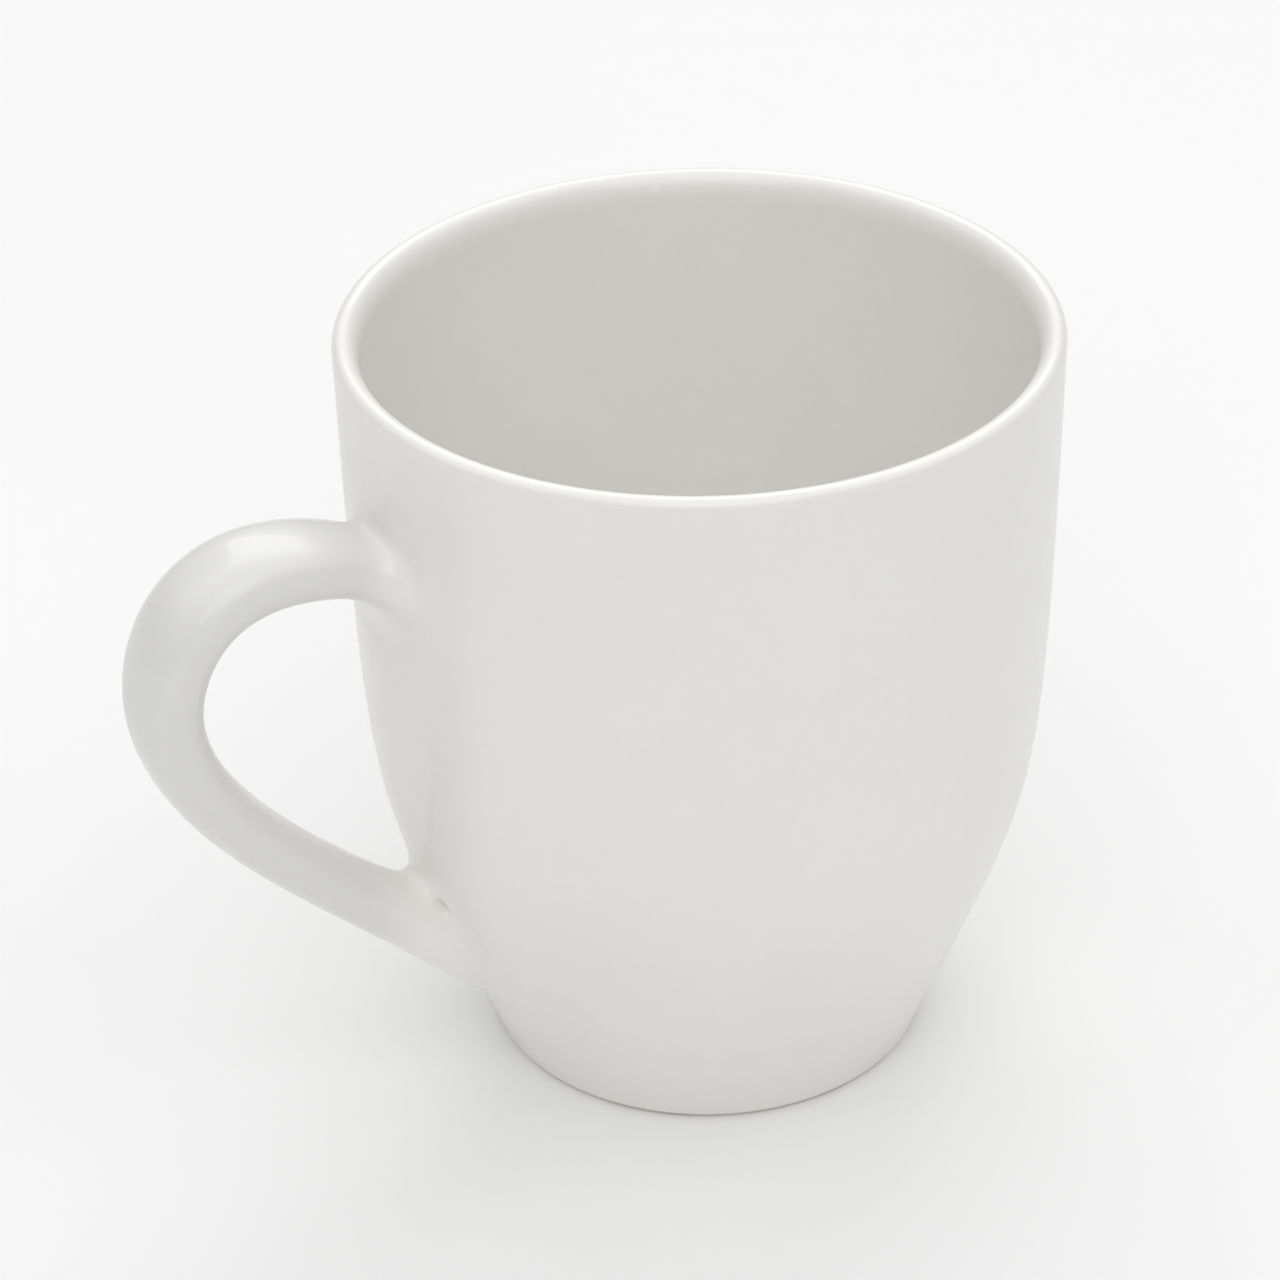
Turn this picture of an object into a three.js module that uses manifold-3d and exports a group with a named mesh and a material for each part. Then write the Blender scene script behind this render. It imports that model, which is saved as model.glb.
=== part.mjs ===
// A glazed stoneware mug: a tulip-shaped cup and a strap handle that is luted on with two slip joints.
// Millimetres, +Z up. The origin is on the cup's axis in the plane that the foot stands on, and the
// handle points along -X.
import * as THREE from "three";
import { mergeVertices } from "three/addons/utils/BufferGeometryUtils.js";
import Module from "manifold-3d";

const wasm = await Module();
wasm.setup();

// Cup, outside: a cone rises from the foot, turns at the belly and eases into the upper wall.
const HEIGHT = 100.8;
const RIM_RADIUS = 45;
const FOOT_RADIUS = 28.1;
const BELLY_RADIUS = 43.9; // where the cone's line and the upper wall's line would meet
const BELLY_HEIGHT = 40;
const BELLY_EASE = 24.7; // how far down the cone from there the bend begins

// Cup, thicknesses and edges
const WALL = 3.3;
const FLOOR = 5.5; // from the standing plane to the inner floor
const FLOOR_ROUND = 11; // between the inner wall and the floor
const LIP_ROUND = 1.3; // outer edge of the lip
const LIP_INNER_EASE = 3.4; // how far down inside the lip's easing reaches
const FOOT_ROUND = 0.7;
const FOOT_RING = 3.4; // width of the flat ring that the mug stands on
const FOOT_RECESS = 0.8; // depth of the panel inside the foot ring
const RECESS_SLOPE = 1.6; // width of the slope between the ring and the panel

// Handle: its centreline leaves the wall, bends down at the shoulder and runs back in as a tail.
const UPPER_ROOT_DROP = 21.5; // below the rim
const UPPER_ROOT_RISE = 26; // degrees above level, going out
const LOWER_ROOT_HEIGHT = 21.9;
const LOWER_ROOT_RISE = 39.2; // degrees above level, going out
const BACK_REACH = 28.3; // from the rim's radius out to the centreline's furthest point
const BACK_DROP = 11.9; // from the upper root down to that point
const SHOULDER_PULL = 23.6; // Bezier handles of the two bends
const BACK_PULL_UP = 9.1;
const BACK_PULL_DOWN = 14.9;
const TAIL_PULL = 24.1;
const STATIONS = [0, 0.3, 0.65, 1]; // shares of the centreline where the strap's section is given
const STRAP_THICKNESS = [7.0, 8.7, 7.3, 9.6];
const STRAP_WIDTH = [12.0, 13.6, 11.0, 13.8];
const STRAP_SQUARENESS = 2.4; // 2 is an ellipse

// Slip joints: a bed of slip under each end of the handle, squeezed out into a fillet around it.
const SLIP_BED = 0.8;
const SLIP_GAP = 0.3; // clearance on each side of the slip
const ROOT_SEARCH = 0.45; // share of the centreline from a root that is outside the wall for certain
const UPPER_FILLET = { above: 2.4, side: 6.0, below: 8.0 }; // leg of the fillet round the strap
const LOWER_FILLET = { above: 8.0, side: 2.4, below: 2.4 };

// Fineness of the faceted surfaces
const TURN_SEGMENTS = 80;
const BEND_STEPS = 18;
const EDGE_STEPS = 3;
const FLOOR_STEPS = 5;
const STRAP_SIDES = 28;
const STRAP_STEPS = 44;
const SLIP_SIDES = 40;
const SLIP_STEPS = 6;
const MERGE_DISTANCE = 1e-4;
const HALVINGS = 40; // of the range in which a crossing is looked for

const GLAZE = { color: 0xe1e0db, roughness: 0.3, metalness: 0 };
const SLIP_GLAZE = { color: 0xdad8d3, roughness: 0.3, metalness: 0 };

const flat = (x, y) => new THREE.Vector2(x, y);
const radians = THREE.MathUtils.degToRad;

// Cup ---------------------------------------------------------------------------------------------

// The cup's outer outline as (radius, height) points from the standing plane up to the lip's round.
// Both of the bend's pulls end at the belly, so its curvature starts and ends at nothing.
function outerOutline() {
  const foot = flat(FOOT_RADIUS, 0);
  const belly = flat(BELLY_RADIUS, BELLY_HEIGHT);
  const lipStart = flat(RIM_RADIUS, HEIGHT - LIP_ROUND);
  const bendStart = foot.clone().sub(belly).setLength(BELLY_EASE).add(belly);
  const bend = new THREE.CubicBezierCurve(bendStart, belly, belly, lipStart);
  return [foot, ...bend.getPoints(BEND_STEPS)];
}

// The same outline moved outward by a distance, or inward if it is negative.
function offsetOutline(points, distance) {
  return points.map((point, i) => {
    const before = points[Math.max(i - 1, 0)];
    const after = points[Math.min(i + 1, points.length - 1)];
    const along = after.clone().sub(before).normalize();
    return flat(point.x + along.y * distance, point.y - along.x * distance);
  });
}

const OUTER = outerOutline();

// Radius and outward slope of the cup's outside at a height.
function wallAt(height) {
  const points = OUTER;
  let i = 1;
  while (i < points.length - 1 && points[i].y < height) i += 1;
  const along = points[i].clone().sub(points[i - 1]);
  const slope = along.x / along.y;
  return { radius: points[i].x + (height - points[i].y) * slope, slope };
}

// Points of an arc or a quarter ellipse about a centre, from one angle to another.
function arcPoints(x, y, xRadius, yRadius, from, to, steps) {
  const ellipse = new THREE.EllipseCurve(x, y, xRadius, yRadius, from, to, to < from, 0);
  return ellipse.getPoints(steps);
}

function turned(points) {
  return new THREE.LatheGeometry(points, TURN_SEGMENTS).rotateX(Math.PI / 2);
}

function cupGeometry() {
  const outer = OUTER;
  const lipStart = outer[outer.length - 1];
  const crownRadius = lipStart.x - LIP_ROUND;
  const lip = arcPoints(crownRadius, HEIGHT - LIP_ROUND, LIP_ROUND, LIP_ROUND, 0, Math.PI / 2, EDGE_STEPS);
  const innerWall = offsetOutline(outer, -WALL);
  const innerRimRadius = innerWall[innerWall.length - 1].x;
  const easeWidth = crownRadius - innerRimRadius;
  const easeBase = HEIGHT - LIP_INNER_EASE;
  const easeSteps = 2 * EDGE_STEPS;
  const ease = arcPoints(crownRadius, easeBase, easeWidth, LIP_INNER_EASE, Math.PI / 2, Math.PI, easeSteps);
  const wallDown = innerWall.filter((p) => p.y < easeBase && p.y > FLOOR + FLOOR_ROUND).reverse();

  // The floor's round meets the cone's line, so it starts at a point on that line.
  const cone = innerWall[1].clone().sub(innerWall[0]);
  const corner = innerWall[0].clone().addScaledVector(cone, (FLOOR - innerWall[0].y) / cone.y);
  const roundTop = corner.clone().add(cone.clone().setLength(FLOOR_ROUND));
  const roundEnd = flat(corner.x - FLOOR_ROUND, FLOOR);
  const floorRound = new THREE.QuadraticBezierCurve(roundTop, corner, roundEnd).getPoints(FLOOR_STEPS);

  // Foot: a rounded edge, the flat ring, then a slope up to the recessed panel.
  const footCone = outer[1].clone().sub(outer[0]).normalize();
  const edgeTop = outer[0].clone().addScaledVector(footCone, FOOT_ROUND);
  const edgeEnd = flat(FOOT_RADIUS - FOOT_ROUND, 0);
  const footEdge = new THREE.QuadraticBezierCurve(edgeEnd, outer[0], edgeTop).getPoints(EDGE_STEPS);
  const ringInner = edgeEnd.x - FOOT_RING;
  const panelRadius = ringInner - RECESS_SLOPE;

  return turned([
    flat(0, FOOT_RECESS),
    flat(panelRadius, FOOT_RECESS),
    flat(ringInner, 0),
    ...footEdge,
    ...outer.slice(1, -1),
    ...lip,
    ...ease.slice(1),
    ...wallDown,
    ...floorRound,
    flat(0, FLOOR),
  ]);
}

// The cup's outside as one full solid, grown by a distance: what meets the wall is cut by it.
function grownCupGeometry(distance) {
  const outline = offsetOutline(OUTER, distance);
  const base = outline[0];
  const top = outline[outline.length - 1];
  return turned([flat(0, base.y), ...outline, flat(0, top.y)]);
}

// Handle ------------------------------------------------------------------------------------------

// How far the centreline runs on inside the wall, so that its whole section ends in there.
function overrun(thickness, rise, height) {
  const wallLean = Math.atan(wallAt(height).slope);
  const meeting = Math.abs(Math.PI / 2 - wallLean - radians(rise));
  return thickness / 2 / Math.tan(meeting) + WALL;
}

// The centreline as (distance from the axis, height), from inside the wall to inside the wall.
function centreline() {
  const upperHeight = HEIGHT - UPPER_ROOT_DROP;
  const upper = flat(wallAt(upperHeight).radius, upperHeight);
  const lower = flat(wallAt(LOWER_ROOT_HEIGHT).radius, LOWER_ROOT_HEIGHT);
  const back = flat(RIM_RADIUS + BACK_REACH, upperHeight - BACK_DROP);
  const upperOut = flat(Math.cos(radians(UPPER_ROOT_RISE)), Math.sin(radians(UPPER_ROOT_RISE)));
  const lowerOut = flat(Math.cos(radians(LOWER_ROOT_RISE)), Math.sin(radians(LOWER_ROOT_RISE)));
  const upperRun = overrun(STRAP_THICKNESS[0], UPPER_ROOT_RISE, upperHeight);
  const lowerRun = overrun(STRAP_THICKNESS[3], LOWER_ROOT_RISE, LOWER_ROOT_HEIGHT);
  const path = new THREE.CurvePath();
  path.add(new THREE.LineCurve(upper.clone().addScaledVector(upperOut, -upperRun), upper));
  path.add(
    new THREE.CubicBezierCurve(
      upper,
      upper.clone().addScaledVector(upperOut, SHOULDER_PULL),
      flat(back.x, back.y + BACK_PULL_UP),
      back,
    ),
  );
  path.add(
    new THREE.CubicBezierCurve(
      back,
      flat(back.x, back.y - BACK_PULL_DOWN),
      lower.clone().addScaledVector(lowerOut, TAIL_PULL),
      lower,
    ),
  );
  path.add(new THREE.LineCurve(lower, lower.clone().addScaledVector(lowerOut, -lowerRun)));
  return { path, length: path.getLength(), upperRun, lowerRun };
}

const CENTRELINE = centreline();

// A smooth value through the stations, held at the end values beyond them.
function throughStations(values, share) {
  const at = THREE.MathUtils.clamp(share, 0, 1);
  return values.reduce((sum, value, i) => {
    const others = STATIONS.filter((_, j) => j !== i);
    return sum + others.reduce((product, s) => (product * (at - s)) / (STATIONS[i] - s), value);
  }, 0);
}

// A point on the strap's surface. Angle 0 is the outer face at the back, and a quarter turn is +Y.
function strapPoint(angle, t, grown = 0) {
  const { path, length, upperRun, lowerRun } = CENTRELINE;
  const share = (t * length - upperRun) / (length - upperRun - lowerRun);
  const halfThickness = throughStations(STRAP_THICKNESS, share) / 2 + grown;
  const halfWidth = throughStations(STRAP_WIDTH, share) / 2 + grown;
  const power = 2 / STRAP_SQUARENESS;
  const across = Math.sign(Math.cos(angle)) * Math.abs(Math.cos(angle)) ** power * halfThickness;
  const sideways = Math.sign(Math.sin(angle)) * Math.abs(Math.sin(angle)) ** power * halfWidth;
  const centre = path.getPoint(t);
  const along = path.getTangent(t);
  const radius = centre.x - along.y * across;
  return new THREE.Vector3(-radius, sideways, centre.y + along.x * across);
}

// A straight extrusion of a round outline, bent so that its corner at (angle, t) goes to place(angle, t).
function bentExtrusion(sides, steps, place) {
  const corners = Array.from({ length: sides }, (_, k) => {
    const angle = (2 * Math.PI * k) / sides;
    return flat(Math.cos(angle), Math.sin(angle));
  });
  const options = { depth: 1, steps, bevelEnabled: false };
  const geometry = new THREE.ExtrudeGeometry(new THREE.Shape(corners), options);
  const position = geometry.getAttribute("position");
  for (let i = 0; i < position.count; i += 1) {
    const angle = Math.atan2(position.getY(i), position.getX(i));
    position.setXYZ(i, ...place(angle, position.getZ(i)).toArray());
  }
  return geometry;
}

function strapGeometry(grown) {
  return bentExtrusion(STRAP_SIDES, STRAP_STEPS, (angle, t) => strapPoint(angle, t, grown));
}

// Slip joints -------------------------------------------------------------------------------------

const outsideWall = (point) => Math.hypot(point.x, point.y) - wallAt(point.z).radius;

// The t between two others where a measure along one line of the strap's surface changes sign.
function crossing(measure, low, high) {
  let inside = low;
  let outside = high;
  for (let i = 0; i < HALVINGS; i += 1) {
    const middle = (inside + outside) / 2;
    if (measure(middle) < 0) inside = middle;
    else outside = middle;
  }
  return (inside + outside) / 2;
}

// The fillet's leg at one angle round the strap, smooth through its values above, beside and below.
function filletLeg(angle, root, fillet) {
  const upward = root.up * Math.cos(angle);
  const middle = (fillet.above + fillet.below) / 2;
  return middle + (fillet.above - middle) * upward + (fillet.side - middle) * (1 - upward ** 2);
}

// The fillet between the strap and the wall at one angle: a bend from the strap, past the corner
// where the two would meet, to the wall.
function filletAt(angle, root, fillet) {
  const leg = filletLeg(angle, root, fillet);
  const line = (t) => strapPoint(angle, t);
  const cornerAt = crossing((t) => outsideWall(line(t)), root.inside, root.outside);
  const corner = line(cornerAt);
  const strapAt = crossing((t) => line(t).distanceTo(corner) - leg, cornerAt, root.outside);
  const centre = CENTRELINE.path.getPoint(cornerAt);
  const away = corner.clone().sub(new THREE.Vector3(-centre.x, 0, centre.y));
  const wallNormal = new THREE.Vector3(corner.x, corner.y, 0).normalize();
  wallNormal.z = -wallAt(corner.z).slope;
  wallNormal.normalize();
  const onWall = away.projectOnPlane(wallNormal).setLength(leg).add(corner);
  const pull = wallAt(onWall.z).radius / Math.hypot(onWall.x, onWall.y);
  onWall.x *= pull;
  onWall.y *= pull;
  return new THREE.QuadraticBezierCurve3(line(strapAt), corner, onWall);
}

function slipGeometry(root, fillet) {
  return bentExtrusion(SLIP_SIDES, SLIP_STEPS, (angle, t) => {
    const bend = filletAt(root.up * angle, root, fillet);
    return bend.getPoint(1 - t);
  });
}

// Solids ------------------------------------------------------------------------------------------

function solid(geometry) {
  const bare = geometry.clone();
  bare.deleteAttribute("normal");
  bare.deleteAttribute("uv");
  const merged = mergeVertices(bare, MERGE_DISTANCE);
  const mesh = new wasm.Mesh({
    numProp: 3,
    vertProperties: merged.getAttribute("position").array,
    triVerts: new Uint32Array(merged.index.array),
  });
  return new wasm.Manifold(mesh);
}

function geometryOf(manifold) {
  const mesh = manifold.getMesh();
  const geometry = new THREE.BufferGeometry();
  geometry.setAttribute("position", new THREE.BufferAttribute(mesh.vertProperties, 3));
  geometry.setIndex(new THREE.BufferAttribute(mesh.triVerts, 1));
  geometry.computeVertexNormals();
  return geometry;
}

function piece(name, geometry, finish) {
  const mesh = new THREE.Mesh(geometry, new THREE.MeshStandardMaterial(finish));
  mesh.name = name;
  return mesh;
}

const slipBottom = solid(grownCupGeometry(SLIP_GAP));
const slipTop = solid(grownCupGeometry(SLIP_GAP + SLIP_BED));
const handleEnd = solid(grownCupGeometry(SLIP_GAP + SLIP_BED + SLIP_GAP));
const handle = solid(strapGeometry(0)).subtract(handleEnd);
const roomForHandle = solid(strapGeometry(SLIP_GAP)).subtract(slipTop);

// A root is found between two shares of the centreline, one inside the wall and one outside it.
// up is 1 where the strap's face at angle 0 looks up, and -1 where it looks down.
const upperRoot = { inside: 0, outside: ROOT_SEARCH, up: 1 };
const lowerRoot = { inside: 1, outside: 1 - ROOT_SEARCH, up: -1 };

function slipJoint(root, fillet) {
  return solid(slipGeometry(root, fillet)).subtract(slipBottom).subtract(roomForHandle);
}

const mug = new THREE.Group();
mug.add(piece("cup_body", cupGeometry(), GLAZE));
mug.add(piece("handle", geometryOf(handle), GLAZE));
mug.add(piece("upper_slip_joint", geometryOf(slipJoint(upperRoot, UPPER_FILLET)), SLIP_GLAZE));
mug.add(piece("lower_slip_joint", geometryOf(slipJoint(lowerRoot, LOWER_FILLET)), SLIP_GLAZE));

export default mug;
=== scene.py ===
import math

import bmesh
import bpy
import numpy as np
from mathutils import Matrix, Vector, noise


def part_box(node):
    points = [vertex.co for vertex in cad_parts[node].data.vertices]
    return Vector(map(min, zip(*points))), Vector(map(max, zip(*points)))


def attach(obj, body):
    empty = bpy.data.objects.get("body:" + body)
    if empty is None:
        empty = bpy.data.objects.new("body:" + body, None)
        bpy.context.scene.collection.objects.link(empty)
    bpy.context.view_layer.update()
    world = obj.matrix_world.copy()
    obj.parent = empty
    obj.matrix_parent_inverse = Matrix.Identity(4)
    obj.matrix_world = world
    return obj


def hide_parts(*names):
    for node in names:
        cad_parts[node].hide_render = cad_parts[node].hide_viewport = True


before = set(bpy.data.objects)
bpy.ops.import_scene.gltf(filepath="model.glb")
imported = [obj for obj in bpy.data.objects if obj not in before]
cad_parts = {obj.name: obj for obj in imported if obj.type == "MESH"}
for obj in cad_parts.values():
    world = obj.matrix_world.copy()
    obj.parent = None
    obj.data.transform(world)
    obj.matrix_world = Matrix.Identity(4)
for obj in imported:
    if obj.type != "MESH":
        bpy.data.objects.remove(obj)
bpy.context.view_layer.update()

MM = 0.001

# Cup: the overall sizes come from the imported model, the rest are the sizes it was drawn with.
CUP_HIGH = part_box("cup_body")[1]
HEIGHT = CUP_HIGH.z
RIM_RADIUS = CUP_HIGH.x
FOOT_RADIUS = 28.1 * MM
BELLY_RADIUS = 43.9 * MM
BELLY_HEIGHT = 40.0 * MM
BELLY_EASE = 24.7 * MM
WALL = 3.3 * MM
FLOOR = 5.5 * MM
FLOOR_ROUND = 11.0 * MM
LIP_ROUND = 1.3 * MM
LIP_INNER_EASE = 3.4 * MM
FOOT_ROUND = 0.7 * MM
FOOT_RING = 3.4 * MM
FOOT_RECESS = 0.8 * MM
RECESS_SLOPE = 1.6 * MM
GLAZE_EDGE = 0.14 * MM      # how far the glaze stands proud where it ends above the bare foot

# Handle
UPPER_ROOT_DROP = 21.5 * MM
UPPER_ROOT_RISE = math.radians(26)
LOWER_ROOT_HEIGHT = 21.9 * MM
LOWER_ROOT_RISE = math.radians(39.2)
BACK_REACH = 28.3 * MM
BACK_DROP = 11.9 * MM
SHOULDER_PULL = 23.6 * MM
BACK_PULL_UP = 9.1 * MM
BACK_PULL_DOWN = 14.9 * MM
TAIL_PULL = 24.1 * MM
STATIONS = (0.0, 0.3, 0.65, 1.0)
STRAP_THICKNESS = (7.0 * MM, 8.7 * MM, 7.3 * MM, 9.6 * MM)
STRAP_WIDTH = (12.0 * MM, 13.6 * MM, 11.0 * MM, 13.8 * MM)
STRAP_SQUARENESS = 2.4
HANDLE_SINK = 0.25 * MM     # the strap's ends stop this far outside the wall, inside the slip

# Slip joints: legs of the fillet round the strap
UPPER_FILLET = {"above": 2.4 * MM, "side": 6.0 * MM, "below": 8.0 * MM}
LOWER_FILLET = {"above": 8.0 * MM, "side": 2.4 * MM, "below": 2.4 * MM}
PINCH_ANGLE = math.radians(-138)    # where round the lower root the slip is pinched, near its top
PINCH_PLACE = 0.42          # and how far along the fillet from the strap to the wall
PINCH_DEPTH = 1.3 * MM
PINCH_HALF_LENGTH = 1.125 * MM
PINCH_HALF_WIDTH = 0.6 * MM

ROUNDNESS = 0.552           # pull of a cubic curve that makes a quarter circle
FILLET_PULL = 0.62          # the same for the slip's hollow, a little fuller
SLIP_RUN = 1.2 * MM         # the slip's edges run on this far under the strap and the wall
SLIP_SINK = 0.22 * MM       # and end this deep

# Fineness of the meshes
CUP_SIDES = 320
PANEL_POINTS = 24
RECESS_POINTS = 16
RING_POINTS = 14
FOOT_ROUND_POINTS = 9
NEAR_FOOT_POINTS = 26
OUTSIDE_POINTS = 96
LIP_POINTS = 16
LIP_EASE_POINTS = 26
INSIDE_POINTS = 110
FLOOR_ROUND_POINTS = 30
FLOOR_POINTS = 18
STRAP_SIDES = 144
STRAP_ROWS = 300
CENTRELINE_POINTS = 1500
SLIP_SIDES = 200
SLIP_ROWS = 24
SLIP_RUN_ROWS = 7
HOLE = 1.0 * MM             # radius of the fan that closes the panel and the inner floor
NEAR_FOOT = 4.0 * MM        # the outside has closer points this far up from the foot
FIRST_STEP = 0.04 * MM
LEAST_STEP = 0.3 * MM       # between the inner wall's lowest point and the floor's round
HALVINGS = 50               # of the range in which a crossing is looked for
ROOT_SEARCH = 0.45          # share of the centreline from a root that is outside the wall for certain
SHORT_STEP = 0.1 * MM       # along the strap, to find which way its surface runs

# Unevenness that the clay and the firing leave
WARP = 0.06 * MM            # slow waviness of every surface
WARP_LENGTH = 38.0 * MM
WARP_START = 12.0 * MM      # the foot stands flat, and the waviness grows up to this height
WARP_SEED = 3               # a fixed one, so that every run gives the same cup
ROLL_RISE = 0.08 * MM       # the glaze's edge rises this fast
ROLL_FADE = 0.9 * MM        # and thins out again over about this height
ROLL_CLEARANCE = 0.2 * MM   # under the foot it hangs only where there is this much room

# Colours, linear
GLAZE_COLOUR = (0.870, 0.862, 0.835)
# painted shade: the handle has the same glaze as the cup, given a darker colour for the shade it gets
HANDLE_SHADED_COLOUR = (0.765, 0.760, 0.745)
STRAP_SHADE_FROM = 43.0 * MM        # from the axis: the cup's colour up to here,
STRAP_SHADE_TO = 52.0 * MM          # and the handle's darker colour, which is painted shade, from here on
CLAY_COLOURS = ((0.60, 0.565, 0.50), (0.70, 0.67, 0.61))
CLAY_STAIN = (0.47, 0.44, 0.39)
CLAY_SPECK = (0.30, 0.25, 0.20)
FLOOR_COLOURS = ((0.796, 0.796, 0.796), (0.80, 0.80, 0.80))
WORLD_COLOUR = (1.0, 1.0, 1.0)
WORLD_STRENGTH = 0.35
FLOOR_SIZE = 8.0

# Soft lights all round the cup: azimuth and elevation in degrees, and watts
SOFTBOXES = (("front_softbox", -28, 50, 6.3), ("low_softbox", -28, 16, 0.3),
             ("left_softbox", -118, 50, 2.8), ("right_softbox", 62, 50, 3.0),
             ("back_softbox", 150, 50, 7.4), ("top_softbox", 0, 88, 2.0))
SOFTBOX_DISTANCE = 1.4
SOFTBOX_SIZE = (1.2, 1.0)
STREAK_LIGHT = ("streak_light", -14, 12, 0.3)   # a narrow one that draws a line on the handle
STREAK_SIZE = (0.04, 0.5)
FLOOR_GLOW = 0.10           # the floor is lit from below too, as on a light table

# Camera
LENS = 118.1
SENSOR = 36.0
CAMERA_DISTANCE = 0.5403
CAMERA_AZIMUTH = math.radians(-28.0)
CAMERA_ELEVATION = math.radians(31.92)
CAMERA_ROLL = math.radians(-0.77)
AIM_RIGHT = -0.00817        # where the middle of the picture lies from the cup's centre
AIM_UP = 0.00396


# Outline of the cup ------------------------------------------------------------------------------

def bezier(points, t):
    """A point, or a row of points, on the cubic Bezier curve of four control points."""
    t = np.asarray(t, float)[..., None]
    a, b, c, d = (np.asarray(p, float) for p in points)
    return (1 - t) ** 3 * a + 3 * (1 - t) ** 2 * t * b + 3 * (1 - t) * t ** 2 * c + t ** 3 * d


def bezier_slope(points, t):
    t = np.asarray(t, float)[..., None]
    a, b, c, d = (np.asarray(p, float) for p in points)
    return 3 * (1 - t) ** 2 * (b - a) + 6 * (1 - t) * t * (c - b) + 3 * t ** 2 * (d - c)


FOOT_POINT = np.array([FOOT_RADIUS, 0.0])
BELLY_POINT = np.array([BELLY_RADIUS, BELLY_HEIGHT])
LIP_POINT = np.array([RIM_RADIUS, HEIGHT - LIP_ROUND])
CONE_WAY = (FOOT_POINT - BELLY_POINT) / np.linalg.norm(FOOT_POINT - BELLY_POINT)
BEND_START = BELLY_POINT + CONE_WAY * BELLY_EASE
BEND = (BEND_START, BELLY_POINT, BELLY_POINT, LIP_POINT)


def wall_at(height):
    """Radius and outward slope of the cup's outside at each height."""
    height = np.asarray(height, float)
    low, high = np.zeros_like(height), np.ones_like(height)
    for _ in range(HALVINGS):
        middle = (low + high) / 2
        under = bezier(BEND, middle)[..., 1] < height
        low, high = np.where(under, middle, low), np.where(under, high, middle)
    on_bend = bezier(BEND, (low + high) / 2)[..., 0]
    way = bezier_slope(BEND, (low + high) / 2)
    cone_slope = CONE_WAY[0] / CONE_WAY[1]
    cone = FOOT_RADIUS + cone_slope * height
    below = height < BEND_START[1]
    radius = np.where(below, cone, on_bend)
    slope = np.where(below, cone_slope, way[..., 0] / np.maximum(way[..., 1], 1e-9))
    return radius, slope


def outside_points(heights, offset=0.0):
    """(radius, height) points of the cup's outside, moved outward by offset along its normal."""
    radius, slope = wall_at(heights)
    size = np.sqrt(1 + slope ** 2)
    return np.stack([radius + offset / size, heights - offset * slope / size], -1)


def arc(x, y, radius, start, end, count):
    angle = np.linspace(start, end, count)
    return np.stack([x + radius * np.cos(angle), y + radius * np.sin(angle)], -1)


def level_line(start, end, height, count):
    return np.stack([np.linspace(start, end, count), np.full(count, height)], -1)


def quadratic(a, b, c, count):
    t = np.linspace(0, 1, count)[:, None]
    return (1 - t) ** 2 * a + 2 * (1 - t) * t * b + t ** 2 * c


# Centreline and surface of the strap --------------------------------------------------------------

def way(rise):
    return np.array([math.cos(rise), math.sin(rise)])


def overrun(thickness, rise, height):
    """How far the centreline runs on inside the wall, so that its whole section ends in there."""
    meeting = abs(math.pi / 2 - math.atan(wall_at(height)[1]) - rise)
    return thickness / 2 / math.tan(meeting) + WALL


def make_centreline():
    """Tables along the strap: length, (distance from the axis, height) and direction angle."""
    upper_height = HEIGHT - UPPER_ROOT_DROP
    upper = np.array([float(wall_at(upper_height)[0]), upper_height])
    lower = np.array([float(wall_at(LOWER_ROOT_HEIGHT)[0]), LOWER_ROOT_HEIGHT])
    back = np.array([RIM_RADIUS + BACK_REACH, upper_height - BACK_DROP])
    upper_way, lower_way = way(UPPER_ROOT_RISE), way(LOWER_ROOT_RISE)
    upper_run = overrun(STRAP_THICKNESS[0], UPPER_ROOT_RISE, upper_height)
    lower_run = overrun(STRAP_THICKNESS[-1], LOWER_ROOT_RISE, LOWER_ROOT_HEIGHT)
    shoulder = (upper, upper + upper_way * SHOULDER_PULL, back + (0, BACK_PULL_UP), back)
    tail = (back, back - (0, BACK_PULL_DOWN), lower + lower_way * TAIL_PULL, lower)
    share = np.linspace(0, 1, CENTRELINE_POINTS)
    start = upper - upper_way * upper_run
    end = lower - lower_way * lower_run
    points = np.vstack([start, bezier(shoulder, share), bezier(tail, share[1:]), end])
    slopes = np.vstack([upper_way, bezier_slope(shoulder, share), bezier_slope(tail, share[1:]),
                        -lower_way])
    angle = np.unwrap(np.arctan2(slopes[:, 1], slopes[:, 0]))
    steps = np.linalg.norm(np.diff(points, axis=0), axis=1)
    length = np.concatenate([[0], np.cumsum(steps)])
    return {"length": length, "points": points, "angle": angle, "first": upper_run,
            "last": length[-1] - lower_run}


CENTRELINE = make_centreline()


def through_stations(values, share):
    """The cubic through the values at the stations."""
    total = 0.0
    for i, value in enumerate(values):
        term = value
        for j, station in enumerate(STATIONS):
            if j != i:
                term = term * (share - station) / (STATIONS[i] - station)
        total = total + term
    return total


def signed_power(value, power):
    return np.sign(value) * np.abs(value) ** power


def strap_points(angle, length, grown=0.0):
    """Points on the strap. Angle 0 is the face that looks outward at the back, a quarter turn +Y."""
    line = CENTRELINE
    share = np.clip((length - line["first"]) / (line["last"] - line["first"]), 0, 1)
    half_thickness = through_stations(STRAP_THICKNESS, share) / 2 + grown
    half_width = through_stations(STRAP_WIDTH, share) / 2 + grown
    power = 2 / STRAP_SQUARENESS
    across = signed_power(np.cos(angle), power) * half_thickness
    sideways = signed_power(np.sin(angle), power) * half_width
    radius = np.interp(length, line["length"], line["points"][:, 0])
    height = np.interp(length, line["length"], line["points"][:, 1])
    direction = np.interp(length, line["length"], line["angle"])
    radius = radius - np.sin(direction) * across
    return np.stack([-radius, sideways + 0 * radius, height + np.cos(direction) * across], -1)


def outside_wall(points):
    """How far points lie outside the cup's outer surface, level with the ground."""
    return np.hypot(points[..., 0], points[..., 1]) - wall_at(points[..., 2])[0]


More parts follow.
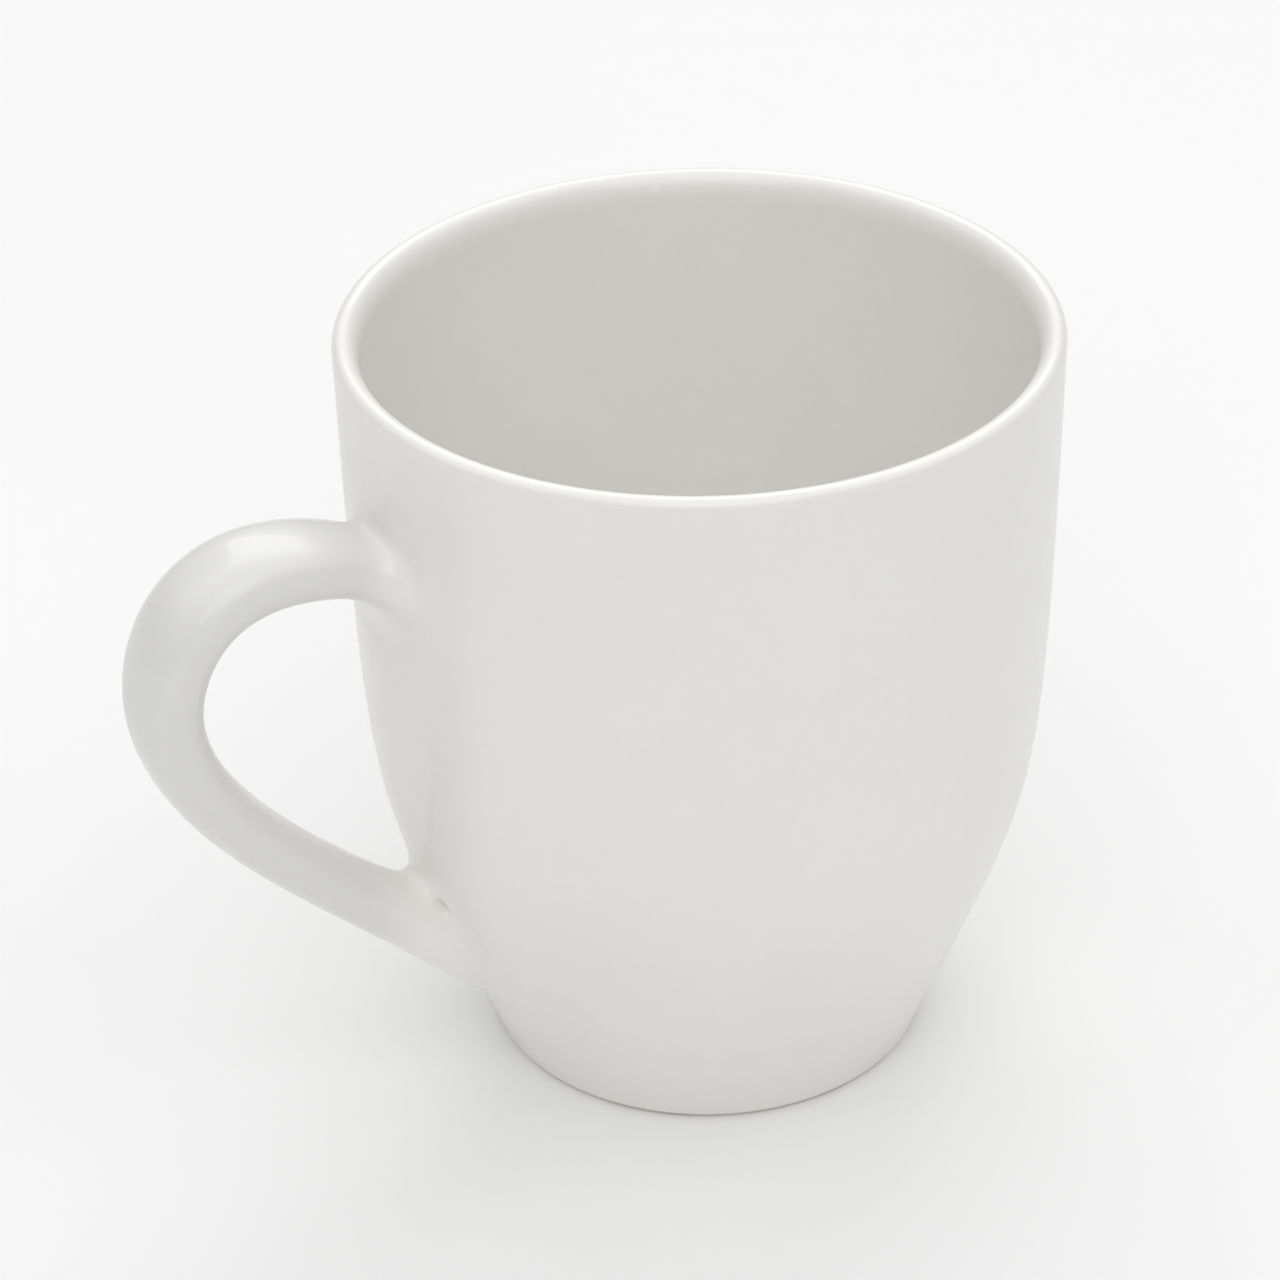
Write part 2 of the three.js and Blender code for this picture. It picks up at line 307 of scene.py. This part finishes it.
def wall_normal(points):
    level = np.stack([points[..., 0], points[..., 1]], -1)
    level = level / np.linalg.norm(level, axis=-1, keepdims=True)
    slope = wall_at(points[..., 2])[1]
    normal = np.concatenate([level, -slope[..., None]], -1)
    return normal / np.linalg.norm(normal, axis=-1, keepdims=True)


def onto_wall(points, offset=0.0):
    """The points moved level onto the cup's outside, then along its normal by offset."""
    pull = wall_at(points[..., 2])[0] / np.hypot(points[..., 0], points[..., 1])
    on = points * np.stack([pull, pull, np.ones_like(pull)], -1)
    return on + wall_normal(on) * offset


def crossing(measure, inside, outside):
    """Where a measure changes from negative to positive, for a whole row of lines at once."""
    for _ in range(HALVINGS):
        middle = (inside + outside) / 2
        under = measure(middle) < 0
        inside, outside = np.where(under, middle, inside), np.where(under, outside, middle)
    return (inside + outside) / 2


# Meshes from rings -------------------------------------------------------------------------------

def settled(points):
    """Every surface shares one slow waviness, so that pieces which touch still touch."""
    noise.seed_set(WARP_SEED)
    moved = np.array([noise.noise_vector(Vector(p) / WARP_LENGTH) for p in points])
    off_the_ground = np.clip(points[:, 2:] / WARP_START, 0, 1)
    return points + moved * WARP * off_the_ground


def ring_faces(count, sides):
    """Quads between neighbouring rings, row by row, then a fan at each end."""
    k = np.arange(sides)
    after = (k + 1) % sides
    rows = np.arange(count - 1)[:, None] * sides
    quads = np.stack([rows + k, rows + after, rows + after + sides, rows + k + sides], -1).reshape(-1, 4)
    first = np.full(sides, count * sides)
    top = (count - 1) * sides
    start_fan = np.stack([first, after, k], -1)
    end_fan = np.stack([first + 1, top + k, top + after], -1)
    return quads.tolist() + start_fan.tolist() + end_fan.tolist()


def ring_mesh(name, rings, first_point, last_point, materials, bare_rows=()):
    """A closed mesh from rings of equal count and a point that closes each end."""
    count, sides = rings.shape[:2]
    points = settled(np.vstack([rings.reshape(-1, 3), [first_point, last_point]]))
    faces = ring_faces(count, sides)
    mesh = bpy.data.meshes.new(name)
    mesh.from_pydata(points.tolist(), [], faces)
    for material in materials:
        mesh.materials.append(material)
    slots = np.zeros(len(faces), int)
    for row in bare_rows:
        slots[row * sides:(row + 1) * sides] = 1
    mesh.polygons.foreach_set("material_index", slots)
    mesh.polygons.foreach_set("use_smooth", np.ones(len(faces), bool))
    mesh.update()
    face_outward(mesh)
    piece = bpy.data.objects.new(name, mesh)
    bpy.context.scene.collection.objects.link(piece)
    return piece


def face_outward(mesh):
    work = bmesh.new()
    work.from_mesh(mesh)
    bmesh.ops.recalc_face_normals(work, faces=work.faces)
    work.to_mesh(mesh)
    work.free()


# Cup ---------------------------------------------------------------------------------------------

def glaze_roll(distance):
    """How far the glaze stands proud at a distance above its edge: a small roll that fades out."""
    return GLAZE_EDGE * (1 - np.exp(-distance / ROLL_RISE)) * np.exp(-distance / ROLL_FADE)


def foot_outline():
    """Underside from the axis outward: glazed panel and slope, then the bare ring and its edge."""
    edge = np.array([FOOT_RADIUS - FOOT_ROUND, 0.0])
    ring_inner = edge[0] - FOOT_RING
    panel_radius = ring_inner - RECESS_SLOPE
    panel = level_line(HOLE, panel_radius, FOOT_RECESS, PANEL_POINTS)
    share = np.linspace(0, 1, RECESS_POINTS)[1:]
    ease = share * share * (3 - 2 * share)
    slope = np.stack([panel_radius + RECESS_SLOPE * share, FOOT_RECESS * (1 - ease)], -1)
    off_the_ground = slope[:, 1] > ROLL_CLEARANCE
    slope[:, 1] -= glaze_roll(ring_inner - slope[:, 0]) * off_the_ground
    ring = level_line(ring_inner, edge[0], 0.0, RING_POINTS)[1:]
    cone_top = FOOT_POINT - CONE_WAY * FOOT_ROUND
    round_edge = quadratic(edge, FOOT_POINT, cone_top, FOOT_ROUND_POINTS)[1:]
    return panel, slope, ring, round_edge


def outer_outline(start_height):
    """The outside from the top of the foot's edge to the start of the lip's round."""
    near_foot = start_height + np.linspace(FIRST_STEP, NEAR_FOOT, NEAR_FOOT_POINTS)
    above = np.linspace(near_foot[-1], HEIGHT - LIP_ROUND, OUTSIDE_POINTS)[1:]
    heights = np.concatenate([near_foot, above])
    return outside_points(heights, glaze_roll(heights - start_height))


def inner_outline():
    """From the lip's crown over the eased inner edge, down the inner wall and across the floor."""
    crown = np.array([RIM_RADIUS - LIP_ROUND, HEIGHT])
    ease_height = HEIGHT - LIP_INNER_EASE
    ease_end, below_it = outside_points(np.array([ease_height, ease_height - MM]), -WALL)
    up_the_wall = (ease_end - below_it) / np.linalg.norm(ease_end - below_it)
    crown_pull = ((crown[0] - ease_end[0]) * ROUNDNESS, 0)
    wall_pull = up_the_wall * LIP_INNER_EASE * ROUNDNESS
    ease = bezier((crown, crown - crown_pull, ease_end + wall_pull, ease_end),
                  np.linspace(0, 1, LIP_EASE_POINTS))
    cone_low, cone_high = outside_points(np.array([0, 0.5 * BEND_START[1]]), -WALL)
    cone = cone_high - cone_low
    corner = cone_low + cone * (FLOOR - cone_low[1]) / cone[1]
    round_top = corner + cone / np.linalg.norm(cone) * FLOOR_ROUND
    wall = outside_points(np.linspace(ease_height, 0, INSIDE_POINTS)[1:], -WALL)
    wall = wall[wall[:, 1] > round_top[1] + LEAST_STEP]
    floor_start = np.array([corner[0] - FLOOR_ROUND, FLOOR])
    floor_round = quadratic(round_top, corner, floor_start, FLOOR_ROUND_POINTS)
    floor = level_line(floor_start[0], HOLE, FLOOR, FLOOR_POINTS)[1:]
    return np.vstack([ease, wall, floor_round, floor])


def make_cup():
    panel, slope, ring, round_edge = foot_outline()
    outer = outer_outline(round_edge[-1][1])
    lip = arc(RIM_RADIUS - LIP_ROUND, HEIGHT - LIP_ROUND, LIP_ROUND, 0, math.pi / 2, LIP_POINTS)[1:-1]
    outline = np.vstack([panel, slope, ring, round_edge, outer, lip, inner_outline()])
    bare_start = len(panel) + len(slope) - 1
    bare_rows = range(bare_start, bare_start + len(ring) + len(round_edge))
    turn = np.linspace(0, 2 * math.pi, CUP_SIDES, endpoint=False)
    rings = np.stack([outline[:, :1] * np.cos(turn), outline[:, :1] * np.sin(turn),
                      outline[:, 1:] + 0 * turn], -1)
    return ring_mesh("cup_visual", rings, (0, 0, FOOT_RECESS), (0, 0, FLOOR),
                     [CUP_GLAZE, BARE_CLAY], bare_rows)


# Handle and its joints ---------------------------------------------------------------------------

def root(end):
    """Lengths along the strap inside the wall and well outside it, and the sign of angle 0's face."""
    total = CENTRELINE["length"][-1]
    if end == "upper":
        return 0.0, ROOT_SEARCH * total, 1
    return total, (1 - ROOT_SEARCH) * total, -1


def strap_meets(angle, end, distance):
    """The length, for each angle, at which the strap's surface is a distance outside the wall."""
    inside, outside, _ = root(end)
    start, stop = np.full_like(angle, inside), np.full_like(angle, outside)
    return crossing(lambda at: outside_wall(strap_points(angle, at)) - distance, start, stop)


def make_handle():
    angle = np.linspace(0, 2 * math.pi, STRAP_SIDES, endpoint=False)
    start = strap_meets(angle, "upper", HANDLE_SINK)
    stop = strap_meets(angle, "lower", HANDLE_SINK)
    share = np.linspace(0, 1, STRAP_ROWS)[:, None]
    rings = strap_points(angle + 0 * share, start * (1 - share) + stop * share)
    return ring_mesh("handle_visual", rings, rings[0].mean(0), rings[-1].mean(0), [HANDLE_GLAZE])


def unit(vectors):
    return vectors / np.linalg.norm(vectors, axis=-1, keepdims=True)


def fillet_leg(angle, up, fillet):
    """The fillet's leg round the strap, smooth through its values above, beside and below."""
    upward = up * np.cos(angle)
    middle = (fillet["above"] + fillet["below"]) / 2
    from_above = (fillet["above"] - middle) * upward
    from_side = (fillet["side"] - middle) * (1 - upward ** 2)
    return middle + from_above + from_side


def pinched(bend, angle):
    """The fillet with a small deep pinch in it, where the slip didn't close up."""
    column = np.argmin(np.abs((angle - PINCH_ANGLE + math.pi) % (2 * math.pi) - math.pi))
    row = round(PINCH_PLACE * (len(bend) - 1))
    place = bend[row, column]
    along = unit(bend[row, column + 1] - bend[row, column - 1])
    inward = unit(np.cross(along, bend[row + 1, column] - bend[row - 1, column]))
    inward = inward * np.sign(np.dot(inward, bend[row].mean(0) - place))
    off = bend - place
    lengthwise = off @ along
    crosswise = np.linalg.norm(off - lengthwise[..., None] * along, axis=-1)
    fade = np.exp(-(lengthwise / PINCH_HALF_LENGTH) ** 2 - (crosswise / PINCH_HALF_WIDTH) ** 2)
    return bend + inward * (PINCH_DEPTH * fade)[..., None]


def make_slip(name, end, fillet):
    """The fillet of slip that the strap is stuck on with, running out under both surfaces."""
    _, outside, up = root(end)
    angle = np.linspace(0, 2 * math.pi, SLIP_SIDES, endpoint=False)
    leg = fillet_leg(angle, up, fillet)
    corner_at = strap_meets(angle, end, 0.0)
    corner = strap_points(angle, corner_at)
    far = np.full_like(angle, outside)
    strap_at = crossing(lambda at: np.linalg.norm(strap_points(angle, at) - corner, axis=-1) - leg,
                        corner_at, far)
    away_from_wall = np.sign(outside - corner_at)
    on_strap = strap_points(angle, strap_at)
    behind = strap_points(angle, strap_at + away_from_wall * SHORT_STEP)
    to_corner = unit(on_strap - behind) * np.linalg.norm(corner - on_strap, axis=-1, keepdims=True)
    middle = corner.mean(0)
    normal = wall_normal(corner)
    outward = corner - middle
    outward = unit(outward - normal * (outward * normal).sum(-1, keepdims=True))
    on_wall = onto_wall(corner + outward * leg[:, None])
    wall_there = wall_normal(on_wall)
    back = corner - on_wall
    back = back - wall_there * (back * wall_there).sum(-1, keepdims=True)
    hollow = (on_strap, on_strap + to_corner * FILLET_PULL, on_wall + back * FILLET_PULL, on_wall)
    bend = bezier(hollow, np.linspace(0, 1, SLIP_ROWS)[:, None])
    if end == "lower":
        bend = pinched(bend, angle)
    run = np.linspace(1, 0, SLIP_RUN_ROWS)[:-1]
    under_strap = [strap_points(angle, strap_at + away_from_wall * SLIP_RUN * r, -SLIP_SINK * r ** 2)
                   for r in run]
    under_wall = [onto_wall(on_wall + outward * SLIP_RUN * r, -SLIP_SINK * r ** 2) for r in run[::-1]]
    rings = np.concatenate([under_strap, bend, under_wall])
    last = onto_wall(middle[None], -SLIP_SINK)[0]
    return ring_mesh(name, rings, rings[0].mean(0), last, [SLIP_GLAZE])


# Materials ---------------------------------------------------------------------------------------

class Nodes:
    """A material's node tree, with short calls for the few kinds of node used here."""

    def __init__(self, name):
        self.material = bpy.data.materials.new(name)
        self.material.use_nodes = True
        self.tree = self.material.node_tree
        self.tree.nodes.clear()
        self.output = self.add("ShaderNodeOutputMaterial")
        self.shader = self.add("ShaderNodeBsdfPrincipled")
        self.link(self.shader.outputs["BSDF"], self.output.inputs["Surface"])
        self.place = self.add("ShaderNodeTexCoord").outputs["Object"]

    def add(self, kind, **settings):
        node = self.tree.nodes.new(kind)
        for key, value in settings.items():
            setattr(node, key, value)
        return node

    def link(self, source, target):
        self.tree.links.new(source, target)

    def noise(self, length, detail=2.0, rough=0.5):
        """Soft noise whose blobs are about length across."""
        node = self.add("ShaderNodeTexNoise")
        self.link(self.place, node.inputs["Vector"])
        node.inputs["Scale"].default_value = 1 / length
        node.inputs["Detail"].default_value = detail
        node.inputs["Roughness"].default_value = rough
        return node.outputs["Fac"]

    def spots(self, spacing, size, share):
        """Round pits: 1 at the middle of a pit and 0 outside, in a share of the cells only."""
        cells = self.add("ShaderNodeTexVoronoi")
        self.link(self.place, cells.inputs["Vector"])
        cells.inputs["Scale"].default_value = 1 / spacing
        near = self.remap(cells.outputs["Distance"], 0, size / spacing, 1, 0)
        chosen = self.add("ShaderNodeSeparateColor")
        self.link(cells.outputs["Color"], chosen.inputs["Color"])
        rare = self.math("LESS_THAN", chosen.outputs["Red"], share)
        return self.math("MULTIPLY", near, rare)

    def remap(self, source, low, high, new_low, new_high):
        node = self.add("ShaderNodeMapRange", interpolation_type="SMOOTHSTEP")
        self.link(source, node.inputs["Value"])
        node.inputs["From Min"].default_value = low
        node.inputs["From Max"].default_value = high
        node.inputs["To Min"].default_value = new_low
        node.inputs["To Max"].default_value = new_high
        return node.outputs["Result"]

    def math(self, operation, a, b):
        node = self.add("ShaderNodeMath", operation=operation)
        for socket, value in zip(node.inputs, (a, b)):
            if isinstance(value, (int, float)):
                socket.default_value = value
            else:
                self.link(value, socket)
        return node.outputs["Value"]

    def scaled(self, colour, factor):
        """A colour times a grey factor."""
        node = self.add("ShaderNodeVectorMath", operation="SCALE")
        self.link(colour, node.inputs[0])
        self.link(factor, node.inputs["Scale"])
        return node.outputs["Vector"]

    def from_axis(self, near, far):
        """0 up to a distance from the cup's axis, and 1 beyond another."""
        flat = self.add("ShaderNodeVectorMath", operation="MULTIPLY")
        self.link(self.place, flat.inputs[0])
        flat.inputs[1].default_value = (1, 1, 0)
        length = self.add("ShaderNodeVectorMath", operation="LENGTH")
        self.link(flat.outputs["Vector"], length.inputs[0])
        return self.remap(length.outputs["Value"], near, far, 0, 1)

    def blend(self, share, a, b):
        """A colour between two others, each a colour or another node's output."""
        node = self.add("ShaderNodeMix", data_type="RGBA")
        self.link(share, node.inputs["Factor"])
        for socket, value in zip((node.inputs[6], node.inputs[7]), (a, b)):
            if isinstance(value, tuple):
                socket.default_value = (*value, 1)
            else:
                self.link(value, socket)
        return node.outputs[2]

    def bump(self, heights):
        """Bump from (height, distance) pairs, the last one on top."""
        normal = None
        for height, distance in heights:
            node = self.add("ShaderNodeBump")
            node.inputs["Strength"].default_value = 1.0
            node.inputs["Distance"].default_value = distance
            self.link(height, node.inputs["Height"])
            if normal:
                self.link(normal, node.inputs["Normal"])
            normal = node.outputs["Normal"]
        self.link(normal, self.shader.inputs["Normal"])


def make_glaze(name):
    """Glossy white glaze: faint clouding, uneven gloss, orange peel and a few pinholes.

    Its colour darkens a little on the way from the cup's wall to the strap: painted shade on the handle.
    """
    nodes = Nodes(name)
    shader = nodes.shader
    # painted shade: the colour darkens from the cup's wall towards and over the strap
    strap_shade = nodes.from_axis(STRAP_SHADE_FROM, STRAP_SHADE_TO)
    colour = nodes.blend(strap_shade, GLAZE_COLOUR, HANDLE_SHADED_COLOUR)
    clouds = nodes.remap(nodes.noise(26 * MM, 3), 0.35, 0.65, 0, 1)
    grain = nodes.remap(nodes.noise(1.6 * MM, 4, 0.6), 0.3, 0.7, 0, 1)
    pits = nodes.spots(5.5 * MM, 0.16 * MM, 0.16)
    tone = nodes.remap(clouds, 0, 1, 0.988, 1.0)
    tone = nodes.math("SUBTRACT", tone, nodes.math("MULTIPLY", grain, 0.008))
    tone = nodes.math("SUBTRACT", tone, nodes.math("MULTIPLY", pits, 0.35))
    nodes.link(nodes.scaled(colour, tone), shader.inputs["Base Color"])
    gloss = nodes.remap(nodes.noise(9 * MM, 4, 0.6), 0.3, 0.7, 0.34, 0.41)
    gloss = nodes.math("ADD", gloss, nodes.math("MULTIPLY", grain, 0.03))
    nodes.link(gloss, shader.inputs["Roughness"])
    shader.inputs["IOR"].default_value = 1.5
    shader.inputs["Coat Weight"].default_value = 0.4
    shader.inputs["Coat Roughness"].default_value = 0.06
    swell = nodes.noise(14 * MM, 1)
    orange_peel = nodes.noise(2.2 * MM, 2)
    dents = nodes.math("MULTIPLY", pits, -1.0)
    nodes.bump([(swell, 0.06 * MM), (orange_peel, 0.010 * MM), (dents, 0.05 * MM)])
    return nodes.material


def make_bare_clay():
    """The fired clay of the foot ring, where the glaze was wiped off."""
    nodes = Nodes("bare_clay")
    grain = nodes.remap(nodes.noise(0.35 * MM, 5, 0.7), 0.3, 0.7, 0, 1)
    stain = nodes.remap(nodes.noise(7 * MM, 3), 0.45, 0.7, 0, 1)
    specks = nodes.spots(1.1 * MM, 0.09 * MM, 0.3)
    base = nodes.blend(grain, *CLAY_COLOURS)
    worn = nodes.blend(nodes.math("MULTIPLY", stain, 0.5), base, CLAY_STAIN)
    nodes.link(nodes.blend(specks, worn, CLAY_SPECK), nodes.shader.inputs["Base Color"])
    nodes.link(nodes.remap(grain, 0, 1, 0.72, 0.92), nodes.shader.inputs["Roughness"])
    nodes.bump([(nodes.noise(0.5 * MM, 4, 0.7), 0.05 * MM), (specks, 0.03 * MM)])
    return nodes.material


def make_floor_paper():
    nodes = Nodes("studio_paper")
    fibres = nodes.noise(3 * MM, 3)
    nodes.link(nodes.blend(fibres, *FLOOR_COLOURS), nodes.shader.inputs["Base Color"])
    nodes.link(nodes.remap(fibres, 0.3, 0.7, 0.85, 0.95), nodes.shader.inputs["Roughness"])
    nodes.bump([(fibres, 0.01 * MM)])
    nodes.shader.inputs["Specular IOR Level"].default_value = 0.2
    nodes.shader.inputs["Emission Color"].default_value = (1, 1, 1, 1)
    nodes.shader.inputs["Emission Strength"].default_value = FLOOR_GLOW
    return nodes.material


# Studio ------------------------------------------------------------------------------------------

def make_floor():
    half = FLOOR_SIZE / 2
    mesh = bpy.data.meshes.new("floor")
    corners = [(-half, -half, 0), (half, -half, 0), (half, half, 0), (-half, half, 0)]
    mesh.from_pydata(corners, [], [(0, 1, 2, 3)])
    mesh.materials.append(make_floor_paper())
    floor = bpy.data.objects.new("floor", mesh)
    bpy.context.scene.collection.objects.link(floor)


def make_world():
    world = bpy.data.worlds.new("studio")
    bpy.context.scene.world = world
    world.use_nodes = True
    background = world.node_tree.nodes["Background"]
    background.inputs["Color"].default_value = (*WORLD_COLOUR, 1)
    background.inputs["Strength"].default_value = WORLD_STRENGTH


def towards(azimuth, elevation):
    """From the cup towards an azimuth, which is 0 at -Y and grows towards +X, and an elevation."""
    level = math.cos(elevation)
    return Vector((math.sin(azimuth) * level, -math.cos(azimuth) * level, math.sin(elevation)))


def make_softbox(name, azimuth, elevation, power, size=SOFTBOX_SIZE):
    """A soft light that looks at the cup from an azimuth and elevation in degrees."""
    back = towards(math.radians(azimuth), math.radians(elevation))
    data = bpy.data.lights.new(name, "AREA")
    data.shape = "RECTANGLE"
    data.size, data.size_y = size
    data.energy = power
    light = bpy.data.objects.new(name, data)
    light.location = Vector((0, 0, HEIGHT / 2)) + back * SOFTBOX_DISTANCE
    light.rotation_euler = back.to_track_quat("Z", "Y").to_euler()
    bpy.context.scene.collection.objects.link(light)


def make_camera():
    back = towards(CAMERA_AZIMUTH, CAMERA_ELEVATION)
    level = Vector((math.cos(CAMERA_AZIMUTH), math.sin(CAMERA_AZIMUTH), 0))
    rise = back.cross(level)
    right = level * math.cos(CAMERA_ROLL) + rise * math.sin(CAMERA_ROLL)
    up = rise * math.cos(CAMERA_ROLL) - level * math.sin(CAMERA_ROLL)
    centre = Vector((0, 0, HEIGHT / 2))
    eye = centre + back * CAMERA_DISTANCE
    forward = (centre + right * AIM_RIGHT + up * AIM_UP - eye).normalized()
    right = forward.cross(up).normalized()
    up = right.cross(forward)
    data = bpy.data.cameras.new("camera")
    data.lens = LENS
    data.sensor_width = SENSOR
    data.clip_start = 10 * MM
    camera = bpy.data.objects.new("camera", data)
    turn = Matrix((right, up, -forward)).transposed().to_4x4()
    camera.matrix_world = Matrix.Translation(eye) @ turn
    bpy.context.scene.collection.objects.link(camera)
    bpy.context.scene.camera = camera


CUP_GLAZE = make_glaze("cup_glaze")
HANDLE_GLAZE = make_glaze("handle_glaze")
SLIP_GLAZE = make_glaze("slip_glaze")
BARE_CLAY = make_bare_clay()

cup = make_cup()
handle = make_handle()
upper_slip = make_slip("upper_slip_visual", "upper", UPPER_FILLET)
lower_slip = make_slip("lower_slip_visual", "lower", LOWER_FILLET)
for piece, node, slot in ((cup, "cup_body", "cup_glaze"), (handle, "handle", "handle_glaze"),
                          (upper_slip, "upper_slip_joint", "slip_glaze"),
                          (lower_slip, "lower_slip_joint", "slip_glaze")):
    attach(piece, "root")
    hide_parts(node)

make_floor()
make_world()
for softbox in SOFTBOXES:
    make_softbox(*softbox)
make_softbox(*STREAK_LIGHT, STREAK_SIZE)
make_camera()
bpy.context.scene.view_settings.view_transform = "Standard"
